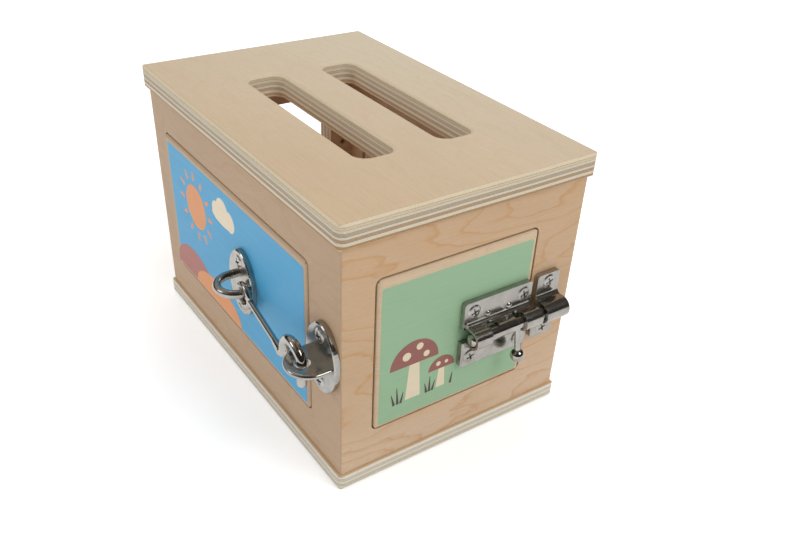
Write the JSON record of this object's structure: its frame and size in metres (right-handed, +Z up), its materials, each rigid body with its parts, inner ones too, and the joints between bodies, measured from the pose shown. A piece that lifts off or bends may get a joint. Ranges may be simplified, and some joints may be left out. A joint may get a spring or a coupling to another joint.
{
  "type": "wooden_lock_box_toy",
  "caption": "Plywood toy lock box with a slotted lid and a pivoting door in each wall, each door shut by a different lock: cabin hook, barrel bolt, slide latch and hasp",
  "frame": {"origin": "the middle of the base board's underside, on the surface the box stands on", "axes": "+X runs along the long side to the end wall with the barrel bolt, -Y is the front with the cabin hook, +Z is up"},
  "size_m": [0.2911, 0.1641, 0.1425],
  "materials": {
    "plywood_board": "sanded birch plywood with a thin clear lacquer, plies showing on the edges",
    "wall_wood": "sanded plywood with a thin clear lacquer",
    "dowel_wood": "plain turned beech",
    "blue_door_wood": "plywood with a blue print on its face and bare rounded edges",
    "green_door_wood": "plywood with a green print on its face and bare rounded edges",
    "yellow_door_wood": "plywood with a yellow print on its face and bare rounded edges",
    "red_door_wood": "plywood with a dull red print on its face and bare rounded edges",
    "nickel_plate": "bright nickel-plated steel, fine handling marks",
    "screw_steel": "nickel-plated steel screws with a raised countersunk cross head",
    "pin_steel": "plain drawn steel"
  },
  "bodies": {
    "root": {"base": "plywood_board", "lid": "plywood_board", "front_wall": "wall_wood", "right_wall": "wall_wood", "back_wall": "wall_wood", "left_wall": "wall_wood", "lid_dowels": "dowel_wood", "base_dowels": "dowel_wood", "front_pivot_pins": "pin_steel", "right_pivot_pins": "pin_steel", "back_pivot_pins": "pin_steel", "left_pivot_pins": "pin_steel", "hook_keep": "nickel_plate", "hook_keep_screws": "screw_steel", "bolt_keep": "nickel_plate", "bolt_keep_screws": "screw_steel", "latch_keep": "nickel_plate", "latch_keep_screws": "screw_steel", "staple_plate": "nickel_plate", "staple_plate_screws": "screw_steel"},
    "front_door": {"front_door": "blue_door_wood", "hook_rose": "nickel_plate", "hook_rose_screws": "screw_steel"},
    "hook": {"hook": "nickel_plate"},
    "right_door": {"right_door": "green_door_wood", "bolt_plate": "nickel_plate", "bolt_plate_screws": "screw_steel"},
    "bolt_rod": {"bolt_rod": "nickel_plate"},
    "bolt_knob": {"bolt_knob": "nickel_plate"},
    "left_door": {"left_door": "yellow_door_wood", "latch_plate": "nickel_plate", "latch_plate_screws": "screw_steel"},
    "latch_bar": {"latch_bar": "nickel_plate"},
    "back_door": {"back_door": "red_door_wood", "hasp_leaf": "nickel_plate", "hasp_leaf_screws": "screw_steel", "hasp_pin": "pin_steel"},
    "hasp_flap": {"hasp_flap": "nickel_plate"},
    "staple": {"staple": "nickel_plate"}
  },
  "joints": [
    {"name": "front_door_hinge", "type": "hinge", "parent": "root", "child": "front_door", "pos_m": [-0.0752, -0.06275, 0.067], "axis": [0, 0, -1], "range_deg": [0, 95]},
    {"name": "hook_swing", "type": "hinge", "parent": "front_door", "child": "hook", "pos_m": [0.01952, -0.07255, 0.0656], "axis": [0, -1, 0], "range_deg": [0, 160]},
    {"name": "right_door_hinge", "type": "hinge", "parent": "root", "child": "right_door", "pos_m": [0.0965, -0.04145, 0.067], "axis": [0, 0, -1], "range_deg": [0, 95]},
    {"name": "bolt_slide", "type": "slide", "parent": "right_door", "child": "bolt_rod", "axis": [0, -1, 0], "range_m": [0, 0.0154]},
    {"name": "bolt_knob_turn", "type": "hinge", "parent": "bolt_rod", "child": "bolt_knob", "pos_m": [0.108, 0.0267, 0.067], "axis": [0, -1, 0], "range_deg": [0, 90]},
    {"name": "left_door_hinge", "type": "hinge", "parent": "root", "child": "left_door", "pos_m": [-0.0965, -0.04145, 0.067], "axis": [0, 0, 1], "range_deg": [-75, 20]},
    {"name": "latch_slide", "type": "slide", "parent": "left_door", "child": "latch_bar", "axis": [-0.9659, 0.2588, 0], "range_m": [0, 0.0157]},
    {"name": "back_door_hinge", "type": "hinge", "parent": "root", "child": "back_door", "pos_m": [0.0752, 0.06275, 0.067], "axis": [0, 0, -1], "range_deg": [0, 95]},
    {"name": "hasp_flap_hinge", "type": "hinge", "parent": "back_door", "child": "hasp_flap", "pos_m": [-0.07, 0.07025, 0.067], "axis": [0, 0, -1], "range_deg": [0, 170]},
    {"name": "staple_turn", "type": "hinge", "parent": "root", "child": "staple", "pos_m": [-0.08675, 0.06625, 0.067], "axis": [0, 1, 0], "range_deg": [0, 90]}
  ]
}
